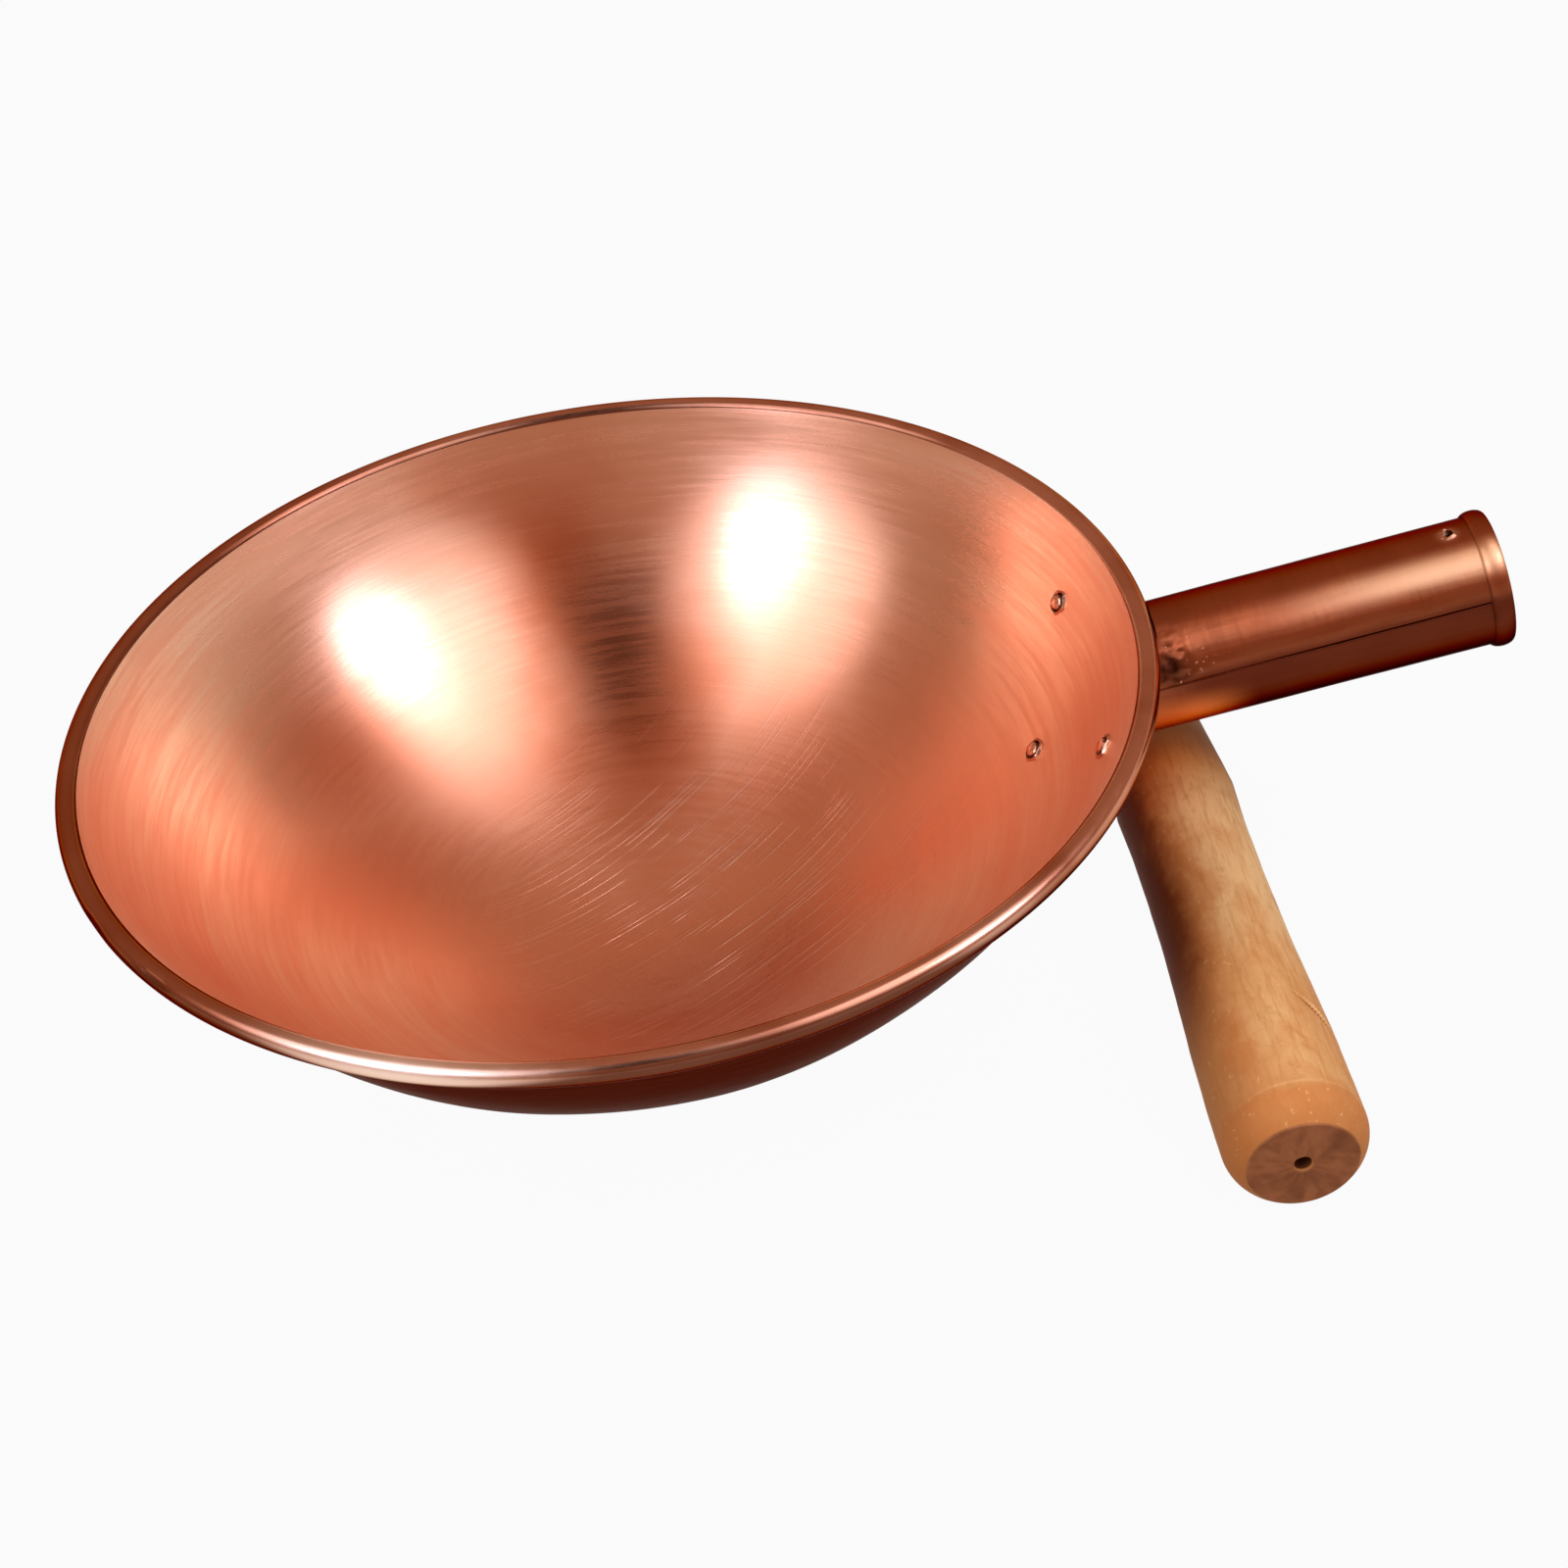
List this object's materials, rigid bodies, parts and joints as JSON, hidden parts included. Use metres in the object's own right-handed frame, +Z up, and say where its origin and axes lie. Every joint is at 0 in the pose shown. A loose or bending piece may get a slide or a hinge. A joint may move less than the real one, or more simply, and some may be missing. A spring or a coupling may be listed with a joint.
{
  "type": "copper wok",
  "caption": "Round-bottomed copper wok with a rolled rim, a riveted copper handle socket and a loose turned wooden handle that plugs into it.",
  "frame": {"origin": "on the floor under the middle of the whole, wok and loose handle together", "axes": "+X along the handle socket, away from the bowl; +Z up; the wok stands on its round bottom and leans 3 degrees towards the socket"},
  "size_m": [0.4486, 0.34, 0.1239],
  "materials": {
    "copper_bowl": "satin spun copper",
    "steel_wire": "drawn wire",
    "copper_socket": "polished copper, darkened",
    "copper_rivet": "hammered copper",
    "turned_wood": "turned, waxed and worn"
  },
  "bodies": {
    "wok": {"bowl": "copper_bowl", "rim_wire": "steel_wire", "handle_socket": "copper_socket", "rivet_far": "copper_rivet", "rivet_near": "copper_rivet", "rivet_lower": "copper_rivet"},
    "handle": {"wooden_handle": "turned_wood"}
  },
  "joints": [
    {"name": "handle_draw", "type": "slide", "parent": "wok", "child": "handle", "axis": [0.0305, -0.9995, 0], "range_m": [0, 0.15]}
  ]
}
